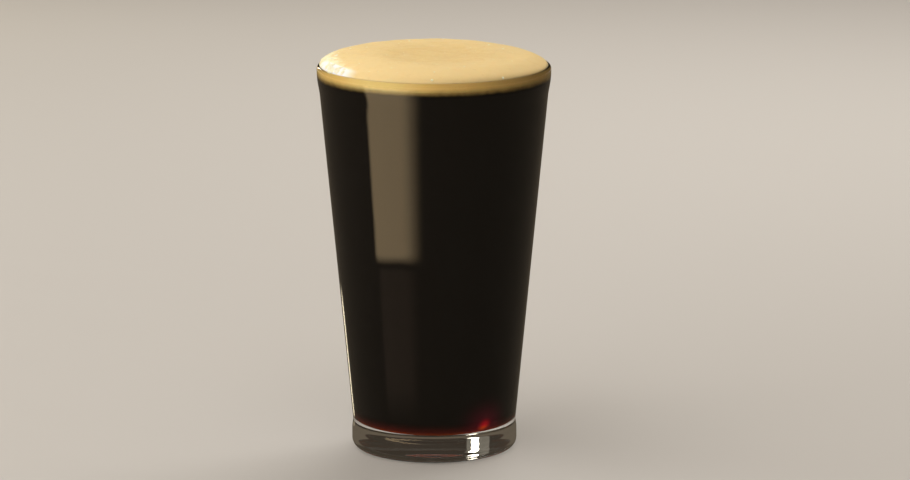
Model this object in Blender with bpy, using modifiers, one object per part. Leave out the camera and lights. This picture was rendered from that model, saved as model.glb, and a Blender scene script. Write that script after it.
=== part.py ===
"""A pint of porter in a plain tapered pint glass, filled past the brim with a cream head.

Three pieces, all turned about the Z axis: the glass, the porter inside it and the foam on top. The origin
is the centre of the glass's foot, on the surface that it stands on. Lengths are in metres.
"""

import math

import bpy

GLASS_HEIGHT = 0.1492
RIM_RADIUS = 0.0447
WALL_TOP_RADIUS = 0.04465
WALL_FOOT_RADIUS = 0.03035
RIM_THICKNESS = 0.0029
RIM_BEAD_LENGTH = 0.010

HEEL_RADIUS = 0.0318
HEEL_TOP = 0.0120
HEEL_BOTTOM = 0.0070
FOOT_ROUNDING = 0.0033
CONTACT_RING_RADIUS = 0.0245
PUNT_DEPTH = 0.0012

BASE_THICKNESS = 0.0095
BORE_FOOT_RADIUS = 0.0242
BORE_CORNER_RADIUS = 0.0070

CLEARANCE = 0.0003
FOAM_LINE = GLASS_HEIGHT - 0.0036
CROWN_HEIGHT = 0.0045
CROWN_FLATNESS = 5.0
CROWN_SHOULDER = 0.6
FOAM_OVERHANG_ANGLE = math.radians(76)

DISH_DEPTH = 0.0007
DISH_SHARE = 0.62
DISH_WAVER = 0.06
DISH_TURN = 0.5
SWIRL_HEIGHT = 0.00025
SWIRL_PITCH = 0.028
SWIRL_TURN = math.radians(330)
LUMP_HEIGHT = 0.00015
LUMP_LENGTH = 0.020
LUMP_DRIFT = 0.7
LUMP_STRETCH = 1.1
LUMP_TURN = 1.3
SHOULDER_SHARE = 0.80
EDGE_SHARE = 0.96

TURN_STEPS = 72
CROWN_RINGS = 22
RIM_SEGMENTS = 10
FOOT_SEGMENTS = 5
PUNT_SEGMENTS = 4
BLEND_SEGMENTS = 4
CORNER_SEGMENTS = 6
OVERHANG_SEGMENTS = 7
AXIS_MERGE = 0.00005


def lerp(a, b, t):
    return a + (b - a) * t


def smooth_step(t):
    t = min(max(t, 0.0), 1.0)
    return t * t * (3 - 2 * t)


def spread(start, end, count):
    """Evenly spaced values from start to end, both ends included, with count steps between them."""
    return [lerp(start, end, i / count) for i in range(count + 1)]


def arc(centre, radius, start, end, count):
    """Points of an arc from angle start to angle end, both ends included."""
    angles = spread(start, end, count)
    return [(centre[0] + radius * math.cos(a), centre[1] + radius * math.sin(a)) for a in angles]


def wall_radius(z):
    """Outer radius of the plain tapered wall at height z."""
    return lerp(WALL_FOOT_RADIUS, WALL_TOP_RADIUS, z / GLASS_HEIGHT)


RIM_CENTRE = (RIM_RADIUS - RIM_THICKNESS / 2, GLASS_HEIGHT - RIM_THICKNESS / 2)
BORE_TOP_RADIUS = RIM_CENTRE[0] - RIM_THICKNESS / 2


def bore_radius(z):
    """Inner radius of the wall at height z, above the rounded corner of the bore."""
    t = (z - BASE_THICKNESS) / (RIM_CENTRE[1] - BASE_THICKNESS)
    return lerp(BORE_FOOT_RADIUS, BORE_TOP_RADIUS, t)


BORE_SLOPE = math.atan2(BORE_TOP_RADIUS - BORE_FOOT_RADIUS, RIM_CENTRE[1] - BASE_THICKNESS)


def bore_corner(inset):
    """Profile of the bore's floor and rounded corner, from the axis outwards, moved inwards by inset."""
    radius = BORE_CORNER_RADIUS
    reach = radius * math.tan((math.pi / 2 - BORE_SLOPE) / 2)
    centre = (BORE_FOOT_RADIUS - reach, BASE_THICKNESS + radius)
    turned = arc(centre, radius - inset, -math.pi / 2, -BORE_SLOPE, CORNER_SEGMENTS)
    return [(0.0, BASE_THICKNESS + inset)] + turned


def rim_bead(z):
    """How far the fire-polished rim stands proud of the plain wall at height z."""
    start = RIM_CENTRE[1] - RIM_BEAD_LENGTH
    proud = RIM_RADIUS - wall_radius(RIM_CENTRE[1])
    return proud * smooth_step((z - start) / RIM_BEAD_LENGTH)


def heel_radius(z):
    """Outer radius where the plain wall swells into the heel."""
    return lerp(HEEL_RADIUS, wall_radius(z), smooth_step((z - HEEL_BOTTOM) / (HEEL_TOP - HEEL_BOTTOM)))


def glass_profile():
    """The whole section of the glass, from the bore's floor over the rim and down to the hollow underside."""
    floor = bore_corner(0.0)
    rim = arc(RIM_CENTRE, RIM_THICKNESS / 2, math.pi, 0.0, RIM_SEGMENTS)
    bead_heights = spread(RIM_CENTRE[1], RIM_CENTRE[1] - RIM_BEAD_LENGTH, BLEND_SEGMENTS)[1:]
    bead = [(wall_radius(z) + rim_bead(z), z) for z in bead_heights]
    heel = [(heel_radius(z), z) for z in spread(HEEL_TOP, HEEL_BOTTOM, BLEND_SEGMENTS)]
    foot_centre = (HEEL_RADIUS - FOOT_ROUNDING, FOOT_ROUNDING)
    foot = arc(foot_centre, FOOT_ROUNDING, 0.0, -math.pi / 2, FOOT_SEGMENTS)
    punt = []
    for t in spread(0.0, 1.0, PUNT_SEGMENTS):
        punt.append((CONTACT_RING_RADIUS * (1 - t), PUNT_DEPTH * math.sin(t * math.pi / 2)))
    return floor + rim + bead + heel + foot + punt


def porter_profile():
    """The drink, a clearance inside the glass, up to the line where the foam starts."""
    top = FOAM_LINE - CLEARANCE / 2
    surface = [(0.0, top), (bore_radius(top) - CLEARANCE, top)]
    return surface + bore_corner(CLEARANCE)[::-1]


def crown_height(t):
    """Height of the crown above its edge, at t from the axis (0) to the edge (1), where it falls steeply."""
    return CROWN_HEIGHT * (1 - t**CROWN_FLATNESS) ** CROWN_SHOULDER


def foam_profile():
    """The head: a plug in the top of the bore that rolls over the rim's inner half, and a crown above it."""
    over_rim = arc(RIM_CENTRE, RIM_THICKNESS / 2 + CLEARANCE, FOAM_OVERHANG_ANGLE, math.pi, OVERHANG_SEGMENTS)
    edge_radius, edge_height = over_rim[0]
    crown = []
    for i in range(CROWN_RINGS):
        t = math.sin(i / CROWN_RINGS * math.pi / 2)
        crown.append((edge_radius * t, edge_height + crown_height(t)))
    bottom = FOAM_LINE + CLEARANCE / 2
    plug = [(bore_radius(bottom) - CLEARANCE, bottom), (0.0, bottom)]
    return crown + over_rim + plug


def crown_relief(x, y):
    """Unevenness of the crown at a place: a shallow dish in its middle, a swirl from the pour, and lumps."""
    angle = math.atan2(y, x)
    radius = math.hypot(x, y)
    share = radius / RIM_CENTRE[0]
    fade = 1 - smooth_step((share - SHOULDER_SHARE) / (EDGE_SHARE - SHOULDER_SHARE))
    dish_edge = DISH_SHARE + DISH_WAVER * math.sin(2 * angle + DISH_TURN)
    dish = -DISH_DEPTH * (1 - smooth_step(share / dish_edge))
    swirl_phase = 2 * angle - 2 * math.pi * radius / SWIRL_PITCH + SWIRL_TURN
    swirl = SWIRL_HEIGHT * smooth_step(2 * share) * math.sin(swirl_phase)
    phase_x = 2 * math.pi * x / LUMP_LENGTH
    phase_y = 2 * math.pi * y / LUMP_LENGTH
    across = math.sin(phase_x + math.sin(LUMP_DRIFT * phase_y))
    lumps = LUMP_HEIGHT * across * math.sin(LUMP_STRETCH * phase_y + LUMP_TURN)
    return (dish + swirl + lumps) * fade


def material(name, colour, roughness, transmission=0.0):
    made = bpy.data.materials.new(name)
    made.use_nodes = True
    shader = made.node_tree.nodes["Principled BSDF"]
    shader.inputs["Base Color"].default_value = (*colour, 1.0)
    shader.inputs["Roughness"].default_value = roughness
    shader.inputs["Metallic"].default_value = 0.0
    shader.inputs["Transmission Weight"].default_value = transmission
    made.diffuse_color = (*colour, 1.0)
    return made


def turned(name, profile, finish, collection):
    """An object whose profile, in the XZ plane, a Screw modifier turns about the Z axis."""
    mesh = bpy.data.meshes.new(name)
    points = [(r, 0.0, z) for r, z in profile]
    edges = [(i, i + 1) for i in range(len(points) - 1)]
    mesh.from_pydata(points, edges, [])
    piece = bpy.data.objects.new(name, mesh)
    collection.objects.link(piece)
    screw = piece.modifiers.new("Turn", "SCREW")
    screw.axis = "Z"
    screw.angle = 2 * math.pi
    screw.steps = TURN_STEPS
    screw.render_steps = TURN_STEPS
    screw.use_merge_vertices = True
    screw.merge_threshold = AXIS_MERGE
    screw.use_smooth_shade = True
    mesh.materials.append(finish)
    return piece


def stir_crown(piece):
    """Applies the turning, then raises and lowers the crown's points by its relief."""
    bpy.context.view_layer.update()
    graph = bpy.context.evaluated_depsgraph_get()
    mesh = bpy.data.meshes.new_from_object(piece.evaluated_get(graph))
    for vertex in mesh.vertices:
        if vertex.co.z > GLASS_HEIGHT:
            vertex.co.z += crown_relief(vertex.co.x, vertex.co.y)
    piece.modifiers.clear()
    piece.data = mesh
    mesh.name = piece.name
    mesh.shade_smooth()


def clear_scene():
    for old in list(bpy.data.objects):
        bpy.data.objects.remove(old, do_unlink=True)


def build():
    clear_scene()
    collection = bpy.data.collections.new("pint_of_porter")
    bpy.context.scene.collection.children.link(collection)
    clear_glass = material("clear_glass", (0.95, 0.96, 0.95), 0.02, transmission=1.0)
    dark_porter = material("dark_porter", (0.012, 0.005, 0.003), 0.05)
    cream_foam = material("cream_foam", (0.80, 0.62, 0.36), 0.75)
    turned("glass", glass_profile(), clear_glass, collection)
    turned("porter", porter_profile(), dark_porter, collection)
    foam = turned("foam_head", foam_profile(), cream_foam, collection)
    stir_crown(foam)


build()
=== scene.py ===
"""The looks of a pint of porter: clear tapered glass, near-black porter and a cream head.

The pieces are built round the CAD frame. Every length is in metres in the frame's own axes: the glass stands
at the origin, +Z up, with -Y towards the viewer.
"""

import logging
import math
import random
from dataclasses import asdict, dataclass, field
from enum import Enum

import bmesh
import bpy
import numpy as np
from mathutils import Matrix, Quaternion, Vector, noise


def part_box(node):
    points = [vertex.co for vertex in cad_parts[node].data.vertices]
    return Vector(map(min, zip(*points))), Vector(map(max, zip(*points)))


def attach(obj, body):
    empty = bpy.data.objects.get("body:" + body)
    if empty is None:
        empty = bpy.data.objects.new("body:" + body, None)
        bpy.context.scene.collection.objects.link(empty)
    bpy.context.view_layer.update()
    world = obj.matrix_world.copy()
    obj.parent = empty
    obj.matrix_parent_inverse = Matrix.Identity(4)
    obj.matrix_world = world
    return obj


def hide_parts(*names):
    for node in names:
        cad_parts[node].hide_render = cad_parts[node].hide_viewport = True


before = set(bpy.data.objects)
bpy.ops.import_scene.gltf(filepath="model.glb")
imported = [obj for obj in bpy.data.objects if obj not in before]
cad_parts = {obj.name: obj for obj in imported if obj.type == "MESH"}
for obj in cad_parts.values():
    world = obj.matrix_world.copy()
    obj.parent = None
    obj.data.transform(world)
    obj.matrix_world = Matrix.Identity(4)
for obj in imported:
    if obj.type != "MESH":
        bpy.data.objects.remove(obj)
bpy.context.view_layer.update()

LOG = logging.getLogger("pint")
BODY = "root"
MM = 0.001
FLOAT = "NodeSocketFloat"
WATER_IOR = 1.33
SAME_HEIGHT = 1e-6

Piece = bpy.types.Object
Mesh = bpy.types.Mesh
Material = bpy.types.Material
Tree = bpy.types.NodeTree
Node = bpy.types.Node
Socket = bpy.types.NodeSocket
Profile = list[tuple[float, float]]
Colour = tuple[float, float, float]
Place = tuple[float, float, float]

WARM: Colour = (1.0, 0.92, 0.74)
DRINK: Colour = (0.0040, 0.0028, 0.0020)


def lerp(a: float, b: float, t: float) -> float:
    """Value a share t of the way from a to b."""
    return a + (b - a) * t


def smooth_step(t: float) -> float:
    """Eased share, from 0 below t = 0 to 1 above t = 1."""
    t = min(max(t, 0.0), 1.0)
    return t * t * (3 - 2 * t)


def angle_apart(a: float, b: float) -> float:
    """How far one direction is from another, from 0 to pi."""
    return abs((a - b + math.pi) % (2 * math.pi) - math.pi)


def spread(start: float, end: float, count: int) -> list[float]:
    """Evenly spaced values.

    Args:
        start: the first value.
        end: the last value.
        count: how many steps lie between them.

    Returns:
        count + 1 values, both ends included.
    """
    return [lerp(start, end, i / count) for i in range(count + 1)]


def arc(centre: tuple[float, float], radius: float, start: float, end: float, count: int) -> Profile:
    """Points of an arc in a profile.

    Args:
        centre: radius and height of the arc's centre.
        radius: the arc's own radius.
        start: first angle in radians, 0 pointing away from the axis.
        end: last angle.
        count: number of segments.

    Returns:
        count + 1 (radius, height) points.
    """
    angles = spread(start, end, count)
    return [(centre[0] + radius * math.cos(a), centre[1] + radius * math.sin(a)) for a in angles]


def straight(start: tuple[float, float], end: tuple[float, float], count: int) -> Profile:
    """Points inside a straight stretch of profile, both ends left out."""
    return [(lerp(start[0], end[0], i / count), lerp(start[1], end[1], i / count)) for i in range(1, count)]


def turned_mesh(name: str, profile: Profile, sectors: int) -> Mesh:
    """A closed mesh turned about the Z axis.

    Args:
        name: the mesh's name.
        profile: (radius, height) points that run down the outer side and start and end on the axis.
        sectors: number of steps round the axis.

    Returns:
        The mesh, smooth shaded, with its faces pointing out.
    """
    angles = [2 * math.pi * i / sectors for i in range(sectors)]
    rings = profile[1:-1]
    points = [(0.0, 0.0, profile[0][1])]
    for radius, height in rings:
        points += [(radius * math.cos(a), radius * math.sin(a), height) for a in angles]
    points.append((0.0, 0.0, profile[-1][1]))
    last = len(points) - 1
    faces: list[tuple[int, ...]] = []
    for i in range(sectors):
        j = (i + 1) % sectors
        faces.append((0, 1 + i, 1 + j))
        for ring in range(len(rings) - 1):
            near, far = 1 + ring * sectors, 1 + (ring + 1) * sectors
            faces.append((near + i, far + i, far + j, near + j))
        end = 1 + (len(rings) - 1) * sectors
        faces.append((end + i, last, end + j))
    mesh = bpy.data.meshes.new(name)
    mesh.from_pydata(points, [], faces)
    mesh.shade_smooth()
    return mesh


def place(name: str, mesh: Mesh, material: Material | None = None) -> Piece:
    """A new object at the origin that shows the mesh, in that material."""
    piece = bpy.data.objects.new(name, mesh)
    bpy.context.scene.collection.objects.link(piece)
    if material is not None:
        mesh.materials.clear()
        mesh.materials.append(material)
    return piece


def gloss_only(piece: Piece) -> None:
    """Hides a piece from all but mirror reflections."""
    for kind in ("camera", "diffuse", "transmission", "shadow"):
        setattr(piece, "visible_" + kind, False)


@dataclass(frozen=True)
class PintForm:
    """Sizes that the glass and its contents share, from the frame and from how such a glass is made."""

    height: float
    rim_radius: float
    foam_line: float
    wall_top: float = 44.65 * MM
    wall_foot: float = 30.35 * MM
    rim_thickness: float = 2.9 * MM
    bead_length: float = 10.0 * MM
    heel_radius: float = 31.8 * MM
    heel_top: float = 12.0 * MM
    heel_bottom: float = 7.0 * MM
    foot_rounding: float = 3.3 * MM
    contact_ring: float = 24.5 * MM
    punt_depth: float = 1.2 * MM
    base_thickness: float = 9.5 * MM
    bore_foot: float = 24.2 * MM
    corner_radius: float = 7.0 * MM

    @classmethod
    def from_frame(cls) -> "PintForm":
        """Reads the height, rim and foam line off the CAD nodes."""
        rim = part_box("glass")[1]
        foam_line = (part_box("foam_head")[0].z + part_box("porter")[1].z) / 2
        return cls(height=rim.z, rim_radius=rim.x, foam_line=foam_line)

    @property
    def rim_centre(self) -> tuple[float, float]:
        """Radius and height of the centre of the rim's rounding."""
        half = self.rim_thickness / 2
        return self.rim_radius - half, self.height - half

    @property
    def bore_top(self) -> float:
        """Inner radius of the wall at the rim."""
        return self.rim_radius - self.rim_thickness

    @property
    def bore_slope(self) -> float:
        """Angle of the bore's wall off the vertical."""
        return math.atan2(self.bore_top - self.bore_foot, self.rim_centre[1] - self.base_thickness)

    def wall(self, z: float) -> float:
        """Outer radius of the plain taper at height z."""
        return lerp(self.wall_foot, self.wall_top, z / self.height)

    def bore(self, z: float) -> float:
        """Inner radius of the taper at height z."""
        t = (z - self.base_thickness) / (self.rim_centre[1] - self.base_thickness)
        return lerp(self.bore_foot, self.bore_top, t)

    def heel(self, z: float) -> float:
        """Outer radius where the taper swells into the heel."""
        t = (z - self.heel_bottom) / (self.heel_top - self.heel_bottom)
        return lerp(self.heel_radius, self.wall(z), smooth_step(t))

    def bead(self, z: float) -> float:
        """Outer radius where the taper swells into the rim's bead."""
        t = (z - self.rim_centre[1] + self.bead_length) / self.bead_length
        return lerp(self.wall(z), self.rim_radius, smooth_step(t))

    def bore_floor(self, outset: float, segments: int) -> Profile:
        """The bore's floor and rounded corner, from the axis outwards.

        Args:
            outset: how far the line lies inside the glass.
            segments: how many steps the rounded corner takes.

        Returns:
            Profile points, the first on the axis.
        """
        reach = self.corner_radius * math.tan((math.pi / 2 - self.bore_slope) / 2)
        centre = (self.bore_foot - reach, self.base_thickness + self.corner_radius)
        turned = arc(centre, self.corner_radius + outset, -math.pi / 2, -self.bore_slope, segments)
        middle = (0.0, self.base_thickness - outset)
        return [middle] + straight(middle, turned[0], 10) + turned


class Nodes:
    """Short-hand for building a node tree."""

    def __init__(self, tree: Tree) -> None:
        """Starts on an existing tree."""
        self.tree = tree

    def add(self, kind: str, **settings: object) -> Node:
        """Adds a node.

        Args:
            kind: the node's type name.
            settings: properties by name; inputs as a dict under "inputs", each a value or a socket to link.

        Returns:
            The node.
        """
        inputs = settings.pop("inputs", {})
        node = self.tree.nodes.new(kind)
        for key, value in settings.items():
            setattr(node, key, value)
        for key, value in inputs.items():
            self.feed(node.inputs[key], value)
        return node

    def feed(self, socket: Socket, value: object) -> None:
        """Links a socket to the input, or sets its value."""
        if isinstance(value, Socket):
            self.tree.links.new(value, socket)
        else:
            socket.default_value = value

    def math(self, operation: str, a: object, b: object = 0.0, c: object = 0.0) -> Socket:
        """A Math node's result."""
        node = self.add("ShaderNodeMath", operation=operation)
        for socket, value in zip(node.inputs, (a, b, c)):
            self.feed(socket, value)
        return node.outputs[0]

    def vector(self, operation: str, a: object, b: object = (0.0, 0.0, 0.0)) -> Node:
        """A Vector Math node."""
        return self.add("ShaderNodeVectorMath", operation=operation, inputs={0: a, 1: b})

    def mix(self, factor: object, a: object, b: object) -> Socket:
        """A colour mixed from a to b by factor."""
        node = self.add("ShaderNodeMix", data_type="RGBA", inputs={"Factor": factor})
        for socket, value in ((node.inputs[6], a), (node.inputs[7], b)):
            self.feed(socket, (*value, 1.0) if isinstance(value, tuple) else value)
        return node.outputs[2]

    def ramp(self, value: object, low: object, high: object, to_low: float = 0, to_high: float = 1) -> Socket:
        """Value eased from one range to another, clamped."""
        inputs = {"Value": value, "From Min": low, "From Max": high, "To Min": to_low, "To Max": to_high}
        node = self.add("ShaderNodeMapRange", interpolation_type="SMOOTHSTEP", inputs=inputs)
        return node.outputs["Result"]

    def place_of(self) -> Socket:
        """Where the shaded point is, in its piece's own axes."""
        return self.add("ShaderNodeTexCoord").outputs["Object"]

    def height(self) -> Socket:
        """How high the shaded point is."""
        return self.add("ShaderNodeSeparateXYZ", inputs={"Vector": self.place_of()}).outputs["Z"]

    def distance(self, centre: Place) -> Socket:
        """How far the shaded point is from a place."""
        return self.vector("DISTANCE", self.place_of(), centre).outputs["Value"]

    def reach(self) -> Socket:
        """How far the shaded point is from the Z axis."""
        flat = self.vector("MULTIPLY", self.place_of(), (1.0, 1.0, 0.0))
        return self.vector("LENGTH", flat.outputs[0]).outputs["Value"]

    def attribute(self, name: str) -> Socket:
        """The mesh's own value of that name at the shaded point."""
        return self.add("ShaderNodeAttribute", attribute_name=name).outputs["Fac"]

    def end_in(self, surface: Socket) -> None:
        """Links that shader to the material's output."""
        self.feed(self.tree.nodes["Material Output"].inputs["Surface"], surface)


def new_material(name: str) -> tuple[Material, Nodes]:
    """A new material and a builder on its tree."""
    material = bpy.data.materials.new(name)
    material.use_nodes = True
    return material, Nodes(material.node_tree)


def new_group(
    name: str, inputs: dict[str, tuple[str, object]], outputs: dict[str, str], kind: str = "ShaderNodeTree"
) -> Nodes:
    """An empty node group with named sockets.

    Args:
        name: the group's name.
        inputs: socket name to (socket type, default value or None).
        outputs: socket name to socket type.
        kind: the tree's type.

    Returns:
        A builder on the group's tree.
    """
    tree = bpy.data.node_groups.new(name, kind)
    for key, (socket_type, value) in inputs.items():
        socket = tree.interface.new_socket(name=key, in_out="INPUT", socket_type=socket_type)
        if value is not None:
            socket.default_value = value
    for key, socket_type in outputs.items():
        tree.interface.new_socket(name=key, in_out="OUTPUT", socket_type=socket_type)
    return Nodes(tree)


class SharedEffects:
    """Shader node groups that several finishes use, each made once."""

    def __init__(self) -> None:
        """Builds the groups."""
        self.height_fade = self._height_fade()
        self.cells = self._cells()
        self.clouds = self._clouds()
        self.ripples = self._ripples()

    def _height_fade(self) -> Tree:
        """Mask that eases from 0 at the height Low to 1 at the height High, with a wavering edge."""
        inputs = {"Low": (FLOAT, 0.0), "High": (FLOAT, 0.01), "Waver": (FLOAT, 0.0)}
        group = new_group("Height Fade", inputs, {"Mask": FLOAT})
        given = group.add("NodeGroupInput").outputs
        place_of = group.place_of()
        split = group.add("ShaderNodeSeparateXYZ", inputs={"Vector": place_of})
        wave = group.add("ShaderNodeTexNoise", inputs={"Vector": place_of, "Scale": 420.0, "Detail": 2.0})
        shift = group.math("SUBTRACT", wave.outputs["Fac"], 0.5)
        height = group.math("MULTIPLY_ADD", shift, given["Waver"], split.outputs["Z"])
        mask = group.ramp(height, given["Low"], given["High"])
        group.add("NodeGroupOutput", inputs={"Mask": mask})
        return group.tree

    def _cells(self) -> Tree:
        """Fine foam cells: domed walls between close-packed bubbles, and scattered burst pits."""
        inputs = {"Cell Size": (FLOAT, 0.5 * MM), "Pit Size": (FLOAT, 2.4 * MM)}
        group = new_group("Foam Cells", inputs, {"Height": FLOAT, "Pits": FLOAT})
        given = group.add("NodeGroupInput").outputs
        place_of = group.place_of()
        fine_scale = group.math("DIVIDE", 1.0, given["Cell Size"])
        pit_scale = group.math("DIVIDE", 1.0, given["Pit Size"])
        fine = group.add("ShaderNodeTexVoronoi", inputs={"Vector": place_of, "Scale": fine_scale})
        coarse = group.add("ShaderNodeTexVoronoi", inputs={"Vector": place_of, "Scale": pit_scale})
        dome = group.ramp(fine.outputs["Distance"], 0.0, 0.75, 1.0, 0.0)
        chosen = group.add("ShaderNodeSeparateColor", inputs={"Color": coarse.outputs["Color"]})
        rare = group.ramp(chosen.outputs["Red"], 0.72, 0.78)
        hole = group.ramp(coarse.outputs["Distance"], 0.10, 0.24, 1.0, 0.0)
        pits = group.math("MULTIPLY", rare, hole)
        height = group.math("MULTIPLY_ADD", pits, -2.0, dome)
        group.add("NodeGroupOutput", inputs={"Height": height, "Pits": pits})
        return group.tree

    def _clouds(self) -> Tree:
        """Slow tone variation about 0, as strong as Amount."""
        inputs = {"Patch Size": (FLOAT, 6.0 * MM), "Amount": (FLOAT, 0.1)}
        group = new_group("Clouds", inputs, {"Tone": FLOAT})
        given = group.add("NodeGroupInput").outputs
        scale = group.math("DIVIDE", 1.0, given["Patch Size"])
        cloud = group.add(
            "ShaderNodeTexNoise",
            inputs={"Vector": group.place_of(), "Scale": scale, "Detail": 5.0, "Roughness": 0.62},
        )
        centred = group.math("SUBTRACT", cloud.outputs["Fac"], 0.5)
        tone = group.math("MULTIPLY", centred, given["Amount"])
        group.add("NodeGroupOutput", inputs={"Tone": tone})
        return group.tree

    def _ripples(self) -> Tree:
        """Slow waviness of a moulded or wet surface, stretched along the height."""
        inputs = {"Length": (FLOAT, 20.0 * MM), "Stretch": (FLOAT, 3.0)}
        group = new_group("Ripples", inputs, {"Height": FLOAT})
        given = group.add("NodeGroupInput").outputs
        flat = group.math("DIVIDE", 1.0, given["Stretch"])
        shape = group.add("ShaderNodeCombineXYZ", inputs={"X": 1.0, "Y": 1.0, "Z": flat})
        squeezed = group.vector("MULTIPLY", group.place_of(), shape.outputs[0])
        scale = group.math("DIVIDE", 1.0, given["Length"])
        inputs = {"Vector": squeezed.outputs[0], "Scale": scale, "Detail": 1.0}
        wave = group.add("ShaderNodeTexNoise", inputs=inputs)
        group.add("NodeGroupOutput", inputs={"Height": wave.outputs["Fac"]})
        return group.tree


class Finish:
    """What every finish shares: a new material with a Principled shader and a builder on its tree."""

    def start(self, name: str, **constants: object) -> tuple[Material, Nodes, Node]:
        """Starts a material.

        Args:
            name: the material's name.
            constants: values for the shader's own inputs, with _ for each space.

        Returns:
            The material, its tree's builder and its Principled shader.
        """
        material, nodes = new_material(name)
        shader = nodes.tree.nodes["Principled BSDF"]
        for key, value in constants.items():
            shader.inputs[key.replace("_", " ")].default_value = value
        return material, nodes, shader

    def start_milky(self, name: str, reach: float, by_colour: Colour) -> tuple[Material, Nodes, Node]:
        """Starts a material that light enters as far as reach, times each colour's share."""
        return self.start(
            name, IOR=WATER_IOR, Subsurface_Weight=0.25, Subsurface_Radius=by_colour, Subsurface_Scale=reach
        )

    def effect(self, nodes: Nodes, group: Tree, **values: object) -> Node:
        """Places a shared effect; values are its inputs, with _ for each space."""
        inputs = {key.replace("_", " "): value for key, value in values.items()}
        return nodes.add("ShaderNodeGroup", node_tree=group, inputs=inputs)

    def tone(self, nodes: Nodes, effects: SharedEffects, size: float, amount: float) -> Socket:
        """Clouds of that size about 0, as strong as amount."""
        return self.effect(nodes, effects.clouds, Patch_Size=size, Amount=amount).outputs["Tone"]

    def fade(self, nodes: Nodes, effects: SharedEffects, low: float, high: float, waver: float) -> Socket:
        """0 below the height low and 1 above the height high, with a wavering edge."""
        return self.effect(nodes, effects.height_fade, Low=low, High=high, Waver=waver).outputs["Mask"]


@dataclass(frozen=True)
class ClearGlassFinish(Finish):
    """Clear pressed glass with faint waviness and faint handling marks."""

    tint: Colour = (0.985, 0.99, 0.985)
    ior: float = 1.5
    polish: float = 0.004
    smear: float = 0.05
    mark_size: float = 18.0 * MM
    wave_height: float = 0.06 * MM
    wave_length: float = 14.0 * MM
    wave_stretch: float = 2.5
    shade: Colour = (0.90, 0.91, 0.90)

    def build(self, effects: SharedEffects) -> Material:
        """Returns the material."""
        constants = {"Base_Color": (*self.tint, 1.0), "IOR": self.ior, "Transmission_Weight": 1.0}
        material, nodes, shader = self.start("clear_glass", **constants)
        marks = self.tone(nodes, effects, self.mark_size, 1.0)
        nodes.feed(shader.inputs["Roughness"], nodes.ramp(marks, 0.04, 0.22, self.polish, self.smear))
        waves = self.effect(nodes, effects.ripples, Length=self.wave_length, Stretch=self.wave_stretch)
        bump = nodes.add("ShaderNodeBump", inputs={"Height": waves.outputs[0], "Distance": self.wave_height})
        nodes.feed(shader.inputs["Normal"], bump.outputs["Normal"])
        to_light = nodes.add("ShaderNodeLightPath").outputs["Is Shadow Ray"]
        clear = nodes.add("ShaderNodeBsdfTransparent", inputs={"Color": (*self.shade, 1.0)})
        shadow = nodes.add(
            "ShaderNodeMixShader", inputs={0: to_light, 1: shader.outputs[0], 2: clear.outputs[0]}
        )
        nodes.end_in(shadow.outputs[0])
        return material


@dataclass(frozen=True)
class FoamEdge(Finish):
    """How the foam looks along the wall and thins out into the drink: both finishes take it up."""

    band: Colour = (0.84, 0.555, 0.165)
    # Painted highlight: the band's paler colour on its front-left side, where the light falls most.
    pale: Colour = (0.96, 0.715, 0.26)
    pale_side: float = math.radians(-119.0)
    pale_radius: float = 44.0 * MM
    pale_core: float = 4.0 * MM
    pale_reach: float = 24.0 * MM
    below: float = 1.7 * MM
    above: float = 1.7 * MM
    waver: float = 0.7 * MM

    def colour(self, nodes: Nodes, foam_line: float) -> Socket:
        """Returns the band's colour, with a painted highlight: paler on the front-left side, where the light
        falls most.
        """
        turn = self.pale_side
        centre = (self.pale_radius * math.cos(turn), self.pale_radius * math.sin(turn), foam_line)
        near = nodes.ramp(nodes.distance(centre), self.pale_reach, self.pale_core)
        return nodes.mix(near, self.band, self.pale)

    def mask(self, nodes: Nodes, effects: SharedEffects, foam_line: float) -> Socket:
        """Returns 1 where the foam is whole and 0 where there is only drink."""
        return self.fade(nodes, effects, foam_line - self.below, foam_line + self.above, self.waver)


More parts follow.
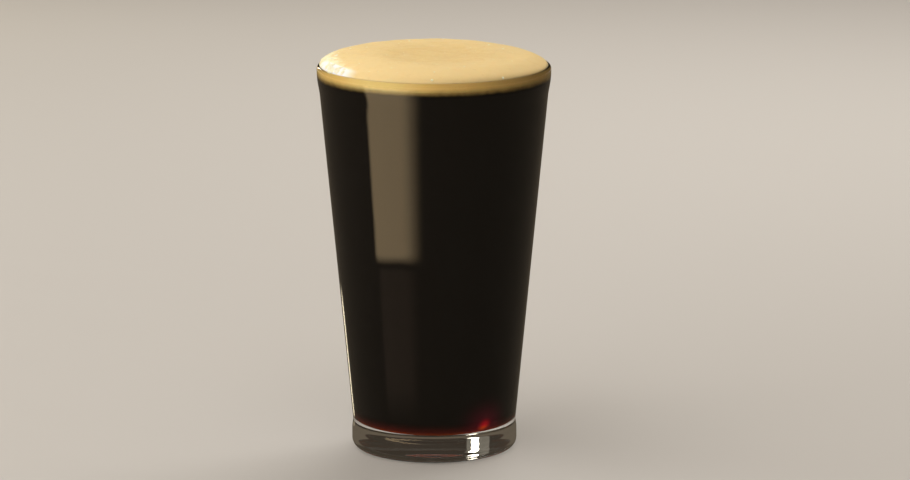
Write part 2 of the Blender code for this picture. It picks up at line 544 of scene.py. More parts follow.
@dataclass(frozen=True)
class PorterFinish(Finish):
    """Near-black porter, golden brown under the foam, with painted red and orange light at the rounded foot,
    where light from behind would shine through the thin drink, and a painted glowing spot.
    """

    edge: FoamEdge = FoamEdge()
    body: Colour = DRINK
    # Painted light: the next two colours stand in for light from behind shining through the thin drink at the
    # foot.
    ruby: Colour = (0.115, 0.010, 0.006)
    amber: Colour = (0.38, 0.050, 0.004)
    ruby_depth: float = 6.5 * MM
    ruby_waver: float = 1.0 * MM
    amber_depth: float = 2.0 * MM
    amber_waver: float = 0.2 * MM
    dark_middle: float = 13.5 * MM
    lit_outside: float = 18.5 * MM
    cloud_size: float = 20.0 * MM
    cloud_amount: float = 0.8
    # Painted glow: a spot where the drink emits the light from behind that its thin edge would let through,
    # with a wider painted red haze.
    ember_turn: float = math.radians(-45.0)
    ember_reach: float = 23.4 * MM
    ember_rise: float = 3.7 * MM
    ember_size: float = 4.0 * MM
    ember: Colour = (0.30, 0.002, 0.006)
    ember_foot: Colour = (0.50, 0.055, 0.001)
    flush: Colour = (0.034, 0.0006, 0.0040)
    flush_size: float = 15.0 * MM

    def build(self, effects: SharedEffects, floor: float, foam_line: float) -> Material:
        """Returns the material.

        Args:
            effects: the shared node groups.
            floor: height of the drink's lowest level.
            foam_line: height where the foam starts.
        """
        material, nodes, shader = self.start("dark_porter", Roughness=0.12, IOR=1.12, Emission_Strength=1.0)
        # Painted red light low in the drink, only outside its dark middle, and painted orange light at its
        # very foot, standing in for light from behind shining through the thin drink.
        low = self.fade(nodes, effects, floor, floor + self.ruby_depth, self.ruby_waver)
        glow = nodes.math("POWER", nodes.math("SUBTRACT", 1.0, low), 2.0)
        uneven = nodes.math("ADD", 1.0, self.tone(nodes, effects, self.cloud_size, self.cloud_amount))
        uneven = nodes.math("MULTIPLY", uneven, nodes.ramp(nodes.reach(), self.dark_middle, self.lit_outside))
        colour = nodes.mix(nodes.math("MULTIPLY", glow, uneven), self.body, self.ruby)
        foot = self.fade(nodes, effects, floor, floor + self.amber_depth, self.amber_waver)
        thin = nodes.math("SUBTRACT", 1.0, foot)
        colour = nodes.mix(nodes.math("MULTIPLY", thin, uneven), colour, self.amber)
        band = self.edge.colour(nodes, foam_line)
        colour = nodes.mix(self.edge.mask(nodes, effects, foam_line), colour, band)
        nodes.feed(shader.inputs["Base Color"], colour)
        nodes.feed(shader.inputs["Emission Color"], self._ember(nodes, floor))
        return material

    def _ember(self, nodes: Nodes, floor: float) -> Socket:
        """Painted glow: colour emitted at the one spot where light from behind would come through the drink's
        thin edge, with a wider painted red haze round it.
        """
        reach, turn = self.ember_reach, self.ember_turn
        centre = (reach * math.cos(turn), reach * math.sin(turn), floor + self.ember_rise)
        gap = nodes.distance(centre)
        near = nodes.ramp(gap, self.ember_size, 0.0)
        wide = nodes.math("POWER", nodes.ramp(gap, self.flush_size, 0.0), 2.0)
        rise = nodes.ramp(nodes.height(), floor + 0.4 * self.ember_rise, floor + self.ember_rise)
        tint = nodes.mix(rise, self.ember_foot, self.ember)
        flush = nodes.mix(wide, (0.0, 0.0, 0.0), self.flush)
        return nodes.mix(nodes.math("POWER", near, 1.6), flush, tint)


@dataclass(frozen=True)
class FoamFinish(Finish):
    """Cream foam of fine cells with burst pits, golden brown at its lower edge against the glass."""

    cream: Colour = (0.90, 0.685, 0.335)
    dull: Colour = (0.81, 0.595, 0.272)
    froth: Colour = (0.97, 0.90, 0.56)
    # White of the froth at the left rim: partly the coarse froth's own colour, partly a painted highlight of
    # the glare there.
    milk: Colour = (0.99, 0.985, 0.93)
    pit: Colour = (0.66, 0.45, 0.19)
    drink: Colour = DRINK
    edge: FoamEdge = FoamEdge()
    cell_size: float = 0.5 * MM
    cell_depth: float = 0.05 * MM
    pit_size: float = 2.6 * MM
    patch_size: float = 5.0 * MM
    mottle_size: float = 1.6 * MM
    clot_size: float = 3.2 * MM
    middle: float = 10.0 * MM
    outside: float = 36.0 * MM
    band_from: float = -1.4 * MM
    band_to: float = 0.1 * MM
    band_waver: float = 0.4 * MM

    def build(self, effects: SharedEffects, foam_line: float, rim_height: float) -> Material:
        """Returns the material.

        Args:
            effects: the shared node groups.
            foam_line: height of the foam's lower edge.
            rim_height: height of the glass's rim.
        """
        material, nodes, shader = self.start_milky("cream_foam", 1.2 * MM, (1.0, 0.7, 0.4))
        clouds = self.tone(nodes, effects, self.patch_size, 1.3)
        outer = nodes.ramp(nodes.reach(), self.middle, self.outside, 0.30, 0.95)
        tone = nodes.math("ADD", nodes.ramp(clouds, -0.5, 0.5, -0.35, 0.35), outer)
        tone = nodes.math("ADD", tone, self.tone(nodes, effects, self.mottle_size, 1.1))
        colour = nodes.mix(nodes.ramp(tone, 0.0, 1.0), self.dull, self.cream)
        bubbly = nodes.attribute("bubbliness")
        milky = nodes.math("MULTIPLY_ADD", self.tone(nodes, effects, self.clot_size, 1.0), 1.6, bubbly)
        milky = nodes.math("MULTIPLY", nodes.ramp(milky, 0.22, 0.80), nodes.ramp(bubbly, 0.0, 0.30))
        colour = nodes.mix(milky, colour, self.froth)
        # Whiter froth at the left rim: partly its own colour, partly a painted highlight of the glare on the
        # rim.
        colour = nodes.mix(nodes.ramp(nodes.attribute("rim_froth"), 0.1, 0.6), colour, self.milk)
        cells = self.effect(nodes, effects.cells, Cell_Size=self.cell_size, Pit_Size=self.pit_size)
        smooth = nodes.ramp(bubbly, 0.05, 0.4, 1.0, 0.0)
        pitted = nodes.math("MULTIPLY", cells.outputs["Pits"], smooth)
        colour = nodes.mix(nodes.math("MULTIPLY", pitted, 0.22), colour, self.pit)
        low, high = rim_height + self.band_from, rim_height + self.band_to
        above = self.fade(nodes, effects, low, high, self.band_waver)
        colour = nodes.mix(above, self.edge.colour(nodes, foam_line), colour)
        colour = nodes.mix(self.edge.mask(nodes, effects, foam_line), self.drink, colour)
        nodes.feed(shader.inputs["Base Color"], colour)
        nodes.feed(shader.inputs["Roughness"], nodes.ramp(clouds, -0.3, 0.3, 0.7, 0.42))
        inputs = {"Height": cells.outputs["Height"], "Distance": self.cell_depth}
        bump = nodes.add("ShaderNodeBump", inputs=inputs)
        nodes.feed(bump.inputs["Strength"], nodes.math("MULTIPLY", smooth, 0.4))
        nodes.feed(shader.inputs["Normal"], bump.outputs["Normal"])
        return material


@dataclass(frozen=True)
class BubbleFinish(Finish):
    """Milky film of a larger bubble, pale over the foam below."""

    colour: Colour = (0.985, 0.945, 0.74)
    shade: Colour = (0.96, 0.88, 0.56)
    patch_size: float = 1.2 * MM

    def build(self, effects: SharedEffects) -> Material:
        """Returns the material."""
        material, nodes, shader = self.start_milky("bubble_film", 1.0 * MM, (1.0, 0.8, 0.5))
        tone = self.tone(nodes, effects, self.patch_size, 1.0)
        colour = nodes.mix(nodes.ramp(tone, -0.25, 0.25), self.shade, self.colour)
        nodes.feed(shader.inputs["Base Color"], colour)
        nodes.feed(shader.inputs["Roughness"], nodes.ramp(tone, -0.3, 0.3, 0.3, 0.5))
        return material


@dataclass
class PintGlass:
    """The tapered glass: plain wall, fire-polished rim, heel and thick clear base with a shallow punt."""

    form: PintForm
    sectors: int = 256
    wall_rings: int = 36
    corner_steps: int = 16
    rim_steps: int = 24
    blend_steps: int = 12
    punt_steps: int = 14
    ring_steps: int = 3

    def profile(self) -> Profile:
        """The whole section, from the bore's floor over the rim and down to the punt."""
        form, steps = self.form, self.blend_steps
        centre, half = form.rim_centre, form.rim_thickness / 2
        floor = form.bore_floor(0.0, self.corner_steps)
        rim = arc(centre, half, math.pi, 0.0, self.rim_steps)
        bead = [(form.bead(z), z) for z in spread(centre[1], centre[1] - form.bead_length, steps)[1:]]
        heel = [(form.heel(z), z) for z in spread(form.heel_top, form.heel_bottom, steps)]
        foot_centre = (form.heel_radius - form.foot_rounding, form.foot_rounding)
        foot = arc(foot_centre, form.foot_rounding, 0.0, -math.pi / 2, steps)
        punt = []
        for t in spread(0.0, 1.0, self.punt_steps):
            punt.append((form.contact_ring * (1 - t), form.punt_depth * math.sin(t * math.pi / 2)))
        bore = straight(floor[-1], rim[0], self.wall_rings)
        wall = straight(bead[-1], heel[0], self.wall_rings)
        ring = straight(foot[-1], punt[0], self.ring_steps)
        return floor + bore + rim + bead + wall + heel + foot + ring + punt

    def build(self, material: Material) -> Piece:
        """Returns the finished piece."""
        piece = place("pint_glass", turned_mesh("pint_glass", self.profile(), self.sectors), material)
        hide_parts("glass")
        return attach(piece, BODY)


@dataclass
class PorterFill:
    """The drink: it fills the bore just into the wall, up to the foam."""

    form: PintForm
    sectors: int = 256
    rings: int = 40
    corner_steps: int = 20
    surface_steps: int = 8
    overlap: float = 0.08 * MM
    under_foam: float = 0.6 * MM

    def build(self, material: Material) -> Piece:
        """Returns the finished piece."""
        form = self.form
        top = form.foam_line + self.under_foam
        edge = (form.bore(top) + self.overlap, top)
        floor = form.bore_floor(self.overlap, self.corner_steps)[::-1]
        surface = [(0.0, top)] + straight((0.0, top), edge, self.surface_steps) + [edge]
        profile = surface + straight(edge, floor[0], self.rings) + floor
        piece = place("porter_fill", turned_mesh("porter_fill", profile, self.sectors), material)
        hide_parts("porter")
        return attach(piece, BODY)


@dataclass(frozen=True)
class Pit:
    """A burst bubble's shallow crater on the crown."""

    x: float
    y: float
    radius: float
    depth: float
    reach: float = 1.6
    lip_at: float = 1.05
    lip_width: float = 0.22
    lip_share: float = 0.35

    def height(self, x: float, y: float) -> float:
        """How far the crater raises or lowers the crown at a place."""
        share = math.hypot(x - self.x, y - self.y) / self.radius
        if share > self.reach:
            return 0.0
        bowl = -self.depth * (1 - smooth_step(share))
        lip = self.lip_share * self.depth * math.exp(-(((share - self.lip_at) / self.lip_width) ** 2))
        return bowl + lip


def bumps(x: float, y: float, height: float, size: float, lift: float = 0.0) -> float:
    """Smooth random bumps of about that height and size at a place, raised by lift times their height."""
    return height * (lift + noise.noise(Vector((x, y, 0.0)) / size))


@dataclass(frozen=True)
class EdgeArea:
    """A stretch of the crown's edge: its middle and half width as angles, its start and depth as shares."""

    side: float
    spread: float
    start: float
    depth: float

    def weight(self, x: float, y: float, share: float) -> float:
        """How far a place belongs to the stretch, from 0 to 1."""
        near = 1 - smooth_step(angle_apart(math.atan2(y, x), self.side) / self.spread)
        return near * smooth_step((share - self.start) / self.depth)


@dataclass
class FoamHead:
    """The head: a plug in the top of the bore, rolled over the rim's inner half, and a crown above."""

    form: PintForm
    sectors: int = 448
    crown_rings: int = 120
    seat_steps: int = 16
    side_steps: int = 12
    under_steps: int = 4
    crown_height: float = 4.35 * MM
    flatness: float = 6.2
    shoulder: float = 0.6
    overhang: float = math.radians(76)
    overlap: float = 0.10 * MM
    rim_overlap: float = 0.05 * MM
    clearance: float = 0.3 * MM
    dish_depth: float = 0.7 * MM
    dish_share: float = 0.62
    dish_waver: float = 0.06
    dish_turn: float = 0.5
    swirl_height: float = 0.25 * MM
    swirl_pitch: float = 28 * MM
    swirl_turn: float = math.radians(330)
    lump_height: float = 0.15 * MM
    lump_length: float = 20 * MM
    lump_drift: float = 0.7
    lump_stretch: float = 1.1
    lump_turn: float = 1.3
    fade_from: float = 0.80
    fade_to: float = 0.96
    pour: EdgeArea = EdgeArea(math.radians(188), math.radians(52), 0.76, 0.18)
    cluster: EdgeArea = EdgeArea(math.radians(206), math.radians(28), 0.90, 0.06)
    patch_size: float = 4 * MM
    settled_side: float = math.radians(8)
    settled_from: float = 0.80
    settled_width: float = 0.20
    settling: float = 0.30
    drawing_in: float = 0.011
    held_from: float = 0.985
    held_width: float = 0.015
    wall_share: float = 0.9
    pit_count: int = 34
    pit_reach: float = 0.95
    pitted_to: float = 0.02
    pit_shares: tuple[float, float] = (0.02, 0.92)
    pit_radii: tuple[float, float] = (0.4, 1.3)
    pit_depths: tuple[float, float] = (0.08, 0.2)
    seed: int = 11
    pits: list[Pit] = field(default_factory=list)

    def __post_init__(self) -> None:
        """Scatters the burst pits over the crown, where it isn't bubbly."""
        rng = random.Random(self.seed)
        while len(self.pits) < self.pit_count:
            angle, share = rng.uniform(0, 2 * math.pi), math.sqrt(rng.uniform(*self.pit_shares))
            radius = rng.uniform(*self.pit_radii) * MM
            reach = share * self.form.rim_centre[0] * self.pit_reach
            x, y = reach * math.cos(angle), reach * math.sin(angle)
            if self.bubbliness(x, y) <= self.pitted_to:
                self.pits.append(Pit(x, y, radius, radius * rng.uniform(*self.pit_depths)))

    def slow_relief(self, x: float, y: float) -> float:
        """The dish in the crown's middle, the swirl from the pour and slow lumps, as in the CAD solid."""
        angle, radius = math.atan2(y, x), math.hypot(x, y)
        share = radius / self.form.rim_centre[0]
        fade = 1 - smooth_step((share - self.fade_from) / (self.fade_to - self.fade_from))
        dish_edge = self.dish_share + self.dish_waver * math.sin(2 * angle + self.dish_turn)
        dish = -self.dish_depth * (1 - smooth_step(share / dish_edge))
        turn = 2 * angle - 2 * math.pi * radius / self.swirl_pitch + self.swirl_turn
        swirl = self.swirl_height * smooth_step(2 * share) * math.sin(turn)
        phase_x, phase_y = 2 * math.pi * x / self.lump_length, 2 * math.pi * y / self.lump_length
        across = math.sin(phase_x + math.sin(self.lump_drift * phase_y))
        lumps = self.lump_height * across * math.sin(self.lump_stretch * phase_y + self.lump_turn)
        return (dish + swirl + lumps) * fade

    def bubbliness(self, x: float, y: float) -> float:
        """How coarse the foam is at a place, from 0 to 1: most along the edge on the side of the pour."""
        share = math.hypot(x, y) / self.form.rim_centre[0]
        patchy = 0.5 + 0.5 * noise.noise(Vector((x, y, 0.3)) / self.patch_size)
        return self.pour.weight(x, y, share) * (0.55 + 0.45 * patchy)

    def sag(self, x: float, y: float, share: float) -> float:
        """How far the crown's shoulder has settled at a place, from 0 to 1."""
        toward = max(math.cos(math.atan2(y, x) - self.settled_side), 0.0)
        return toward**4 * smooth_step((share - self.settled_from) / self.settled_width)

    def fine_relief(self, x: float, y: float) -> float:
        """Small lumps and burst pits, and clots where the foam is bubbly."""
        bubbly = self.bubbliness(x, y)
        small = bumps(x, y, 0.04 * MM, 2.6 * MM) + bumps(x, y, 0.012 * MM, 0.9 * MM)
        clots = bubbly * (bumps(x, y, 0.80 * MM, 3.0 * MM, lift=0.2) + bumps(x, y, 0.25 * MM, 1.5 * MM))
        return small * (1 + 2 * bubbly) + clots + sum(pit.height(x, y) for pit in self.pits)

    def profile(self) -> tuple[Profile, int]:
        """The section, with how many of its points belong to the crown."""
        form, half = self.form, self.form.rim_thickness / 2
        edge = arc(form.rim_centre, half + self.clearance, self.overhang, self.overhang, 1)[0]
        crown = []
        for i in range(self.crown_rings + 1):
            t = math.sin(i / self.crown_rings * math.pi / 2)
            height = self.crown_height * (1 - t**self.flatness) ** self.shoulder if t < 1 else 0.0
            crown.append((edge[0] * t, edge[1] + height))
        seat = arc(form.rim_centre, half - self.rim_overlap, self.overhang, math.pi, self.seat_steps)
        bottom = (form.bore(form.foam_line) + self.overlap, form.foam_line)
        side_top = (form.bore(form.rim_centre[1]) + self.overlap, form.rim_centre[1])
        side = [side_top] + straight(side_top, bottom, self.side_steps) + [bottom]
        middle = (0.0, form.foam_line)
        under = straight(bottom, middle, self.under_steps) + [middle]
        return crown + seat[:-1] + side + under, len(crown)

    def stir(self, mesh: Mesh, crown_end: int, edge: tuple[float, float]) -> None:
        """Gives the turned head its unevenness and stores how bubbly each place is.

        Args:
            mesh: the turned head.
            crown_end: how many vertices, the first ones, lie inside the crown's edge.
            edge: radius and height of that edge.
        """
        form, count = self.form, len(mesh.vertices)
        coarse, at_rim = np.zeros(count, np.float32), np.zeros(count, np.float32)
        for vertex in mesh.vertices:
            x, y = vertex.co.x, vertex.co.y
            reach = math.hypot(x, y)
            if vertex.index >= crown_end:
                at_line = abs(vertex.co.z - form.foam_line) < SAME_HEIGHT
                if at_line and reach > form.bore_top * self.wall_share:
                    vertex.co.z += bumps(x, y, 0.25 * MM, 1.6 * MM)
                continue
            share = reach / edge[0]
            held = 1 - smooth_step((share - self.held_from) / self.held_width)
            coarse[vertex.index] = self.bubbliness(x, y)
            at_rim[vertex.index] = self.cluster.weight(x, y, share)
            sag = self.sag(x, y, share)
            vertex.co.z -= self.settling * sag * (vertex.co.z - edge[1])
            vertex.co.x, vertex.co.y = x * (1 - self.drawing_in * sag), y * (1 - self.drawing_in * sag)
            vertex.co.z += self.slow_relief(x, y) + self.fine_relief(x, y) * held
        for name, values in (("bubbliness", coarse), ("rim_froth", at_rim)):
            mesh.attributes.new(name, "FLOAT", "POINT").data.foreach_set("value", values)

    def build(self, material: Material) -> Piece:
        """Returns the finished piece."""
        profile, crown_points = self.profile()
        mesh = turned_mesh("foam_crown", profile, self.sectors)
        self.stir(mesh, 1 + (crown_points - 1) * self.sectors, profile[crown_points - 1])
        piece = place("foam_crown", mesh, material)
        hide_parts("foam_head")
        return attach(piece, BODY)


@dataclass(frozen=True)
class ZoneSizes:
    """One zone's bubbles: their number on a square metre, their radii, and what they follow in the foam."""

    density: float
    smallest: float
    largest: float
    follow_attribute: float = 1.0
    attribute: str = "bubbliness"


class BubbleZone(Enum):
    """Where larger bubbles gather on the crown."""

    POUR_EDGE = ZoneSizes(0.20e6, 0.50 * MM, 1.20 * MM)
    RIM_CLUSTER = ZoneSizes(0.55e6, 0.90 * MM, 1.60 * MM, attribute="rim_froth")
    SCATTERED = ZoneSizes(0.9e4, 0.20 * MM, 0.75 * MM, follow_attribute=0.0)


class BubbleScatter:
    """A Geometry Nodes tree that beds bubbles in a surface, sunk by a share of their radius."""

    sink = 0.66

    def __init__(self, material: Material) -> None:
        """Builds the tree once, ending in that material."""
        inputs = {
            "Geometry": ("NodeSocketGeometry", None),
            "Density": (FLOAT, 1.0e5),
            "Smallest": (FLOAT, 0.2 * MM),
            "Largest": (FLOAT, 0.8 * MM),
            "Follow Attribute": (FLOAT, 1.0),
            "Attribute": ("NodeSocketString", "bubbliness"),
            "Seed": ("NodeSocketInt", 3),
        }
        group = new_group("Bedded Bubbles", inputs, {"Geometry": "NodeSocketGeometry"}, "GeometryNodeTree")
        given = group.add("NodeGroupInput").outputs
        bubbly = group.add(
            "GeometryNodeInputNamedAttribute", data_type="FLOAT", inputs={"Name": given["Attribute"]}
        )
        follow = group.math("SUBTRACT", bubbly.outputs[0], 1.0)
        weight = group.math("MULTIPLY_ADD", follow, given["Follow Attribute"], 1.0)
        squared = group.math("POWER", group.math("MAXIMUM", weight, 0.0), 2.0)
        density = group.math("MULTIPLY", squared, given["Density"])
        points = group.add(
            "GeometryNodeDistributePointsOnFaces",
            inputs={"Mesh": given["Geometry"], "Density": density, "Seed": given["Seed"]},
        )
        draw = group.add("FunctionNodeRandomValue", data_type="FLOAT", inputs={"Seed": given["Seed"]})
        skew = group.math("POWER", draw.outputs[1], 2.4)
        span = group.math("SUBTRACT", given["Largest"], given["Smallest"])
        radius = group.math("MULTIPLY_ADD", skew, span, given["Smallest"])
        sunk = group.math("MULTIPLY", radius, -self.sink)
        inputs = {0: points.outputs["Normal"], "Scale": sunk}
        offset = group.add("ShaderNodeVectorMath", operation="SCALE", inputs=inputs)
        inputs = {"Geometry": points.outputs["Points"], "Offset": offset.outputs[0]}
        moved = group.add("GeometryNodeSetPosition", inputs=inputs)
        ball = group.add("GeometryNodeMeshIcoSphere", inputs={"Radius": 1.0, "Subdivisions": 2})
        smooth = group.add("GeometryNodeSetShadeSmooth", inputs={"Geometry": ball.outputs["Mesh"]})
        inputs = {"Points": moved.outputs[0], "Instance": smooth.outputs[0], "Scale": radius}
        balls = group.add("GeometryNodeInstanceOnPoints", inputs=inputs)
        real = group.add("GeometryNodeRealizeInstances", inputs={"Geometry": balls.outputs[0]})
        inputs = {"Geometry": real.outputs[0], "Material": material}
        dressed = group.add("GeometryNodeSetMaterial", inputs=inputs)
        group.add("NodeGroupOutput", inputs={"Geometry": dressed.outputs[0]})
        self.tree = group.tree

    def build(self, name: str, surface: Mesh, sizes: ZoneSizes, seed: int) -> Mesh:
        """Runs the tree.

        Args:
            name: the new mesh's name.
            surface: the mesh to bed the bubbles in.
            sizes: what the zone asks for.
            seed: starts the random draws.

        Returns:
            The bubbles alone, as a plain mesh.
        """
        wanted = {key.replace("_", " ").title(): value for key, value in asdict(sizes).items()}
        wanted["Seed"] = seed
        carrier = place(name + "_carrier", surface.copy())
        modifier = carrier.modifiers.new("Bubbles", "NODES")
        modifier.node_group = self.tree
        for item in self.tree.interface.items_tree:
            if item.in_out == "INPUT" and item.name in wanted:
                modifier[item.identifier] = wanted[item.name]
        bpy.context.view_layer.update()
        graph = bpy.context.evaluated_depsgraph_get()
        mesh = bpy.data.meshes.new_from_object(carrier.evaluated_get(graph))
        mesh.name = name
        bpy.data.objects.remove(carrier)
        return mesh


@dataclass
class CrownBubbles:
    """The larger bubbles that stand in the foam's crown."""

    foam: Piece
    lowest: float
    tilt: float = 0.05

    def crown_only(self) -> Mesh:
        """The foam's faces that look up, above the rim."""
        shell = bmesh.new()
        shell.from_mesh(self.foam.data)
        low = [f for f in shell.faces if f.calc_center_median().z < self.lowest or f.normal.z < self.tilt]
        bmesh.ops.delete(shell, geom=low, context="FACES")
        mesh = bpy.data.meshes.new("crown_only")
        shell.to_mesh(mesh)
        shell.free()
        return mesh

    def build(self, scatter: BubbleScatter) -> list[Piece]:
        """Returns one piece for each zone."""
        surface = self.crown_only()
        pieces = []
        for seed, zone in enumerate(BubbleZone, start=5):
            name = "bubbles_" + zone.name.lower()
            mesh = scatter.build(name, surface, zone.value, seed)
            piece = place(name, mesh)
            pieces.append(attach(piece, BODY))
        return pieces


@dataclass(frozen=True)
class Softbox:
    """A rectangular soft light that faces its target.

    The bearing is in degrees, 0 beyond the glass and 90 to its right. So are the elevation above the target
    and the roll about the line to it. Only a light with through_glass is seen through the glass, and only a
    mirrored one in its gloss.
    """

    name: str
    bearing: float
    elevation: float
    distance: float
    size: tuple[float, float]
    radiance: float
    colour: Colour = (1.0, 0.97, 0.93)
    roll: float = 0.0
    through_glass: bool = False
    mirrored: bool = True
    target: Place = (0.0, 0.0, 0.1)

    def build(self) -> Piece:
        """Puts the light in the scene."""
        turn, lift = math.radians(self.bearing), math.radians(self.elevation)
        away = Vector((math.sin(turn) * math.cos(lift), math.cos(turn) * math.cos(lift), math.sin(lift)))
        data = bpy.data.lights.new(self.name, "AREA")
        data.shape = "RECTANGLE"
        data.size, data.size_y = self.size
        data.energy = self.radiance * math.pi * self.size[0] * self.size[1]
        data.color = self.colour
        light = bpy.data.objects.new(self.name, data)
        light.location = Vector(self.target) + away * self.distance
        facing = away.to_track_quat("Z", "Y") @ Quaternion((0.0, 0.0, 1.0), math.radians(self.roll))
        light.rotation_euler = facing.to_euler()
        light.visible_camera = False
        light.visible_transmission = self.through_glass
        light.visible_glossy = self.mirrored
        bpy.context.scene.collection.objects.link(light)
        return light


@dataclass(frozen=True)
class Gleam:
    """A lit patch of floor that only gloss shows, laid where the glass's wall mirrors it to the camera.

    The azimuths are degrees round the wall from the side that faces the camera, positive to its right. The
    heights are those of the wall. Each soft value is the share of the patch over which its light fades.
    """

    name: str
    azimuths: tuple[float, float]
    heights: tuple[float, float]
    radiance: Colour
    soft_left: float = 0.05
    soft_right: float = 0.05
    soft_low: float = 0.02
    soft_high: float = 0.02
    steps: int = 24
    lift: float = 0.5 * MM

    def mirrored(self, form: PintForm, eye: Vector, azimuth: float, height: float) -> Place:
        """The point just above the floor that the wall mirrors to the eye at a place on the wall."""
        turn = math.radians(azimuth)
        slope = math.atan2(form.wall_top - form.wall_foot, form.height)
        around = Vector((math.sin(turn), -math.cos(turn), 0.0))
        normal = around * math.cos(slope) - Vector((0.0, 0.0, math.sin(slope)))
        on_wall = around * form.wall(height) + Vector((0.0, 0.0, height))
        sight = (on_wall - eye).normalized()
        ray = sight - 2 * sight.dot(normal) * normal
        hit = on_wall + ray * ((height - self.lift) / -ray.z)
        return hit.x, hit.y, self.lift

    def mesh(self, form: PintForm, eye: Vector) -> Mesh:
        """The patch's grid, its UV running from 0 to 1 across and up."""
        steps = self.steps
        points, faces, shares = [], [], []
        for i in range(steps + 1):
            for j in range(steps + 1):
                azimuth, height = lerp(*self.azimuths, j / steps), lerp(*self.heights, i / steps)
                points.append(self.mirrored(form, eye, azimuth, height))
        for i in range(steps):
            for j in range(steps):
                corner = i * (steps + 1) + j
                faces.append((corner, corner + 1, corner + steps + 2, corner + steps + 1))
                shares += [(j, i), (j + 1, i), (j + 1, i + 1), (j, i + 1)]
        mesh = bpy.data.meshes.new(self.name)
        mesh.from_pydata(points, [], faces)
        layer = mesh.uv_layers.new(name="share")
        for loop, (across, up) in zip(layer.data, shares):
            loop.uv = (across / steps, up / steps)
        return mesh

    def build(self, form: PintForm, eye: Vector) -> Piece:
        """Puts the patch in the scene."""
        material, nodes = new_material(self.name)
        spot = nodes.add("ShaderNodeUVMap").outputs["UV"]
        share = nodes.add("ShaderNodeSeparateXYZ", inputs={"Vector": spot})
        left = nodes.ramp(share.outputs["X"], 0.0, self.soft_left)
        right = nodes.ramp(share.outputs["X"], 1.0, 1.0 - self.soft_right)
        low = nodes.ramp(share.outputs["Y"], 0.0, self.soft_low)
        high = nodes.ramp(share.outputs["Y"], 1.0, 1.0 - self.soft_high)
        across, up = nodes.math("MULTIPLY", left, right), nodes.math("MULTIPLY", low, high)
        strength = nodes.math("MULTIPLY", across, up)
        glow = nodes.add("ShaderNodeEmission", inputs={"Color": (*self.radiance, 1.0), "Strength": strength})
        clear = nodes.add("ShaderNodeBsdfTransparent")
        both = nodes.add("ShaderNodeAddShader", inputs={0: glow.outputs[0], 1: clear.outputs[0]})
        nodes.end_in(both.outputs[0])
        patch = place(self.name, self.mesh(form, eye), material)
        gloss_only(patch)
        return patch


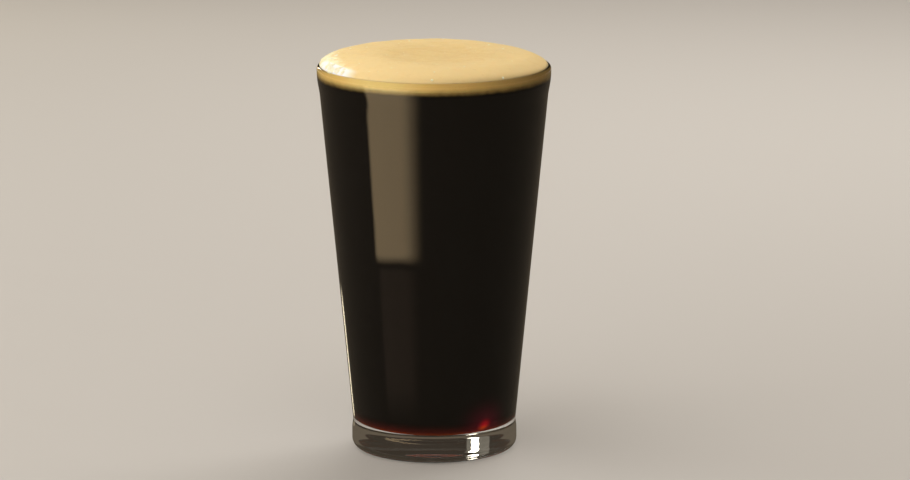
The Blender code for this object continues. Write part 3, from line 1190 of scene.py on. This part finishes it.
@dataclass
class Studio:
    """The plain pale floor, the soft lights and the camera at the photograph's angle."""

    form: PintForm
    focal_pixels: float = 4420.4
    image_width: float = 910.0
    sensor: float = 36.0
    distance: float = 1.6603
    eye_height: float = 0.4337
    pitch: float = math.radians(12.0)
    yaw: float = math.radians(0.276)
    floor_half: float = 6.0
    floor_level: float = -0.05 * MM
    floor_colour: Colour = (0.62, 0.60, 0.57)
    floor_roughness: float = 0.6
    quiet_half: float = 0.9
    quiet_level: float = 0.4 * MM
    # Colour of the painted dark reflection that the glass's gloss shows instead of the floor.
    quiet_colour: Colour = (0.11, 0.088, 0.062)
    sky_colour: Colour = (1.0, 0.78, 0.56)
    sky_rise: tuple[float, float] = (0.42, 0.9)
    sky_strengths: tuple[float, float] = (0.038, 0.30)
    softboxes: tuple[Softbox, ...] = (
        Softbox("front_left", -136.0, 10.0, 1.1, (1.10, 0.40), 4.3, through_glass=True, mirrored=False),
        Softbox("left_high", -88.0, 62.0, 1.2, (0.90, 0.90), 1.6, mirrored=False),
        Softbox(
            "froth_near", -104.0, 36.0, 0.07, (0.03, 0.03), 4.6, mirrored=False, target=(-0.04, -0.014, 0.152)
        ),
        Softbox("front_high", 180.0, 60.0, 1.3, (0.90, 0.80), 1.3, mirrored=False),
        Softbox("back_high", 26.0, 42.0, 1.3, (1.00, 0.60), 5.7, mirrored=False),
        Softbox(
            "back_strip", -19.2, 11.5, 1.3, (0.095, 0.30), 7.0, colour=WARM, roll=8.0, through_glass=True
        ),
        Softbox("back_glow", -22.0, 12.0, 1.35, (0.34, 0.36), 0.13, colour=WARM, through_glass=True),
    )
    gleams: tuple[Gleam, ...] = (
        Gleam(
            "streak", (-36.4, -5.2), (78.0 * MM, 235.0 * MM), (2.8, 2.05, 1.15),
            soft_left=0.09, soft_right=0.42, soft_low=0.032,
        ),
        Gleam(
            "streak_foot", (-34.5, -7.5), (14.0 * MM, 77.5 * MM), (0.16, 0.11, 0.08),
            soft_left=0.10, soft_right=0.35, soft_low=0.30,
        ),
        Gleam(
            "left_line", (-80.5, -75.5), (12.0 * MM, 66.5 * MM), (2.3, 2.0, 1.4),
            soft_left=0.30, soft_right=0.30, soft_low=0.05, soft_high=0.20,
        ),
    )

    @property
    def eye(self) -> Vector:
        """Where the camera stands."""
        return Vector((0.0, -self.distance, self.eye_height))

    def camera(self) -> None:
        """Sets the camera where the photograph's rim and foot ellipses put it."""
        data = bpy.data.cameras.new("camera")
        data.sensor_width = self.sensor
        data.sensor_fit = "HORIZONTAL"
        data.lens = self.focal_pixels / self.image_width * self.sensor
        data.clip_start = 0.05
        data.clip_end = 60.0
        camera = bpy.data.objects.new("camera", data)
        camera.location = self.eye
        camera.rotation_euler = (math.pi / 2 - self.pitch, 0.0, -self.yaw)
        bpy.context.scene.collection.objects.link(camera)
        bpy.context.scene.camera = camera
        bpy.context.scene.view_settings.view_transform = "Standard"

    def sheet(self, name: str, half: float, level: float) -> Piece:
        """A flat square sheet, named like its new material."""
        corners = [(-half, -half, level), (half, -half, level), (half, half, level), (-half, half, level)]
        mesh = bpy.data.meshes.new(name)
        mesh.from_pydata(corners, [], [(0, 1, 2, 3)])
        flat = place(name, mesh, new_material(name)[0])
        return flat

    def floor(self) -> None:
        """The wide pale floor under the foot, and a dimly glowing sheet on it, seen only in gloss, that
        paints a dark reflection into the glass in place of the floor.
        """
        pale = self.sheet("pale_floor", self.floor_half, self.floor_level)
        shader = pale.active_material.node_tree.nodes["Principled BSDF"]
        shader.inputs["Base Color"].default_value = (*self.floor_colour, 1.0)
        shader.inputs["Roughness"].default_value = self.floor_roughness
        quiet = self.sheet("quiet_gloss", self.quiet_half, self.quiet_level)
        nodes = Nodes(quiet.active_material.node_tree)
        glow = nodes.add("ShaderNodeEmission", inputs={"Color": (*self.quiet_colour, 1.0)})
        nodes.end_in(glow.outputs[0])
        gloss_only(quiet)

    def surround(self) -> None:
        """A soft sky, darker towards the horizon."""
        world = bpy.data.worlds.new("surround")
        world.use_nodes = True
        nodes = Nodes(world.node_tree)
        away = nodes.add("ShaderNodeTexCoord").outputs["Generated"]
        split = nodes.add("ShaderNodeSeparateXYZ", inputs={"Vector": away})
        sky = world.node_tree.nodes["Background"]
        sky.inputs["Color"].default_value = (*self.sky_colour, 1.0)
        strength = nodes.ramp(split.outputs["Z"], *self.sky_rise, *self.sky_strengths)
        nodes.feed(sky.inputs["Strength"], strength)
        bpy.context.scene.world = world

    def build(self) -> None:
        """Puts everything of the studio in place."""
        self.camera()
        self.floor()
        self.surround()
        for softbox in self.softboxes:
            softbox.build()
        for gleam in self.gleams:
            gleam.build(self.form, self.eye)


def main() -> None:
    """Builds the studio and the pint's pieces, in order."""
    logging.basicConfig(level=logging.INFO, format="%(name)s: %(message)s")
    form = PintForm.from_frame()
    Studio(form).build()
    effects = SharedEffects()
    foam_material = FoamFinish().build(effects, form.foam_line, form.height)
    pieces = [
        PintGlass(form).build(ClearGlassFinish().build(effects)),
        PorterFill(form).build(PorterFinish().build(effects, form.base_thickness, form.foam_line)),
        FoamHead(form).build(foam_material),
    ]
    scatter = BubbleScatter(BubbleFinish().build(effects))
    pieces += CrownBubbles(pieces[-1], form.height + 0.5 * MM).build(scatter)
    for piece in pieces:
        LOG.info("%s: %d faces", piece.name, len(piece.data.polygons))


if __name__ == "__main__":
    main()
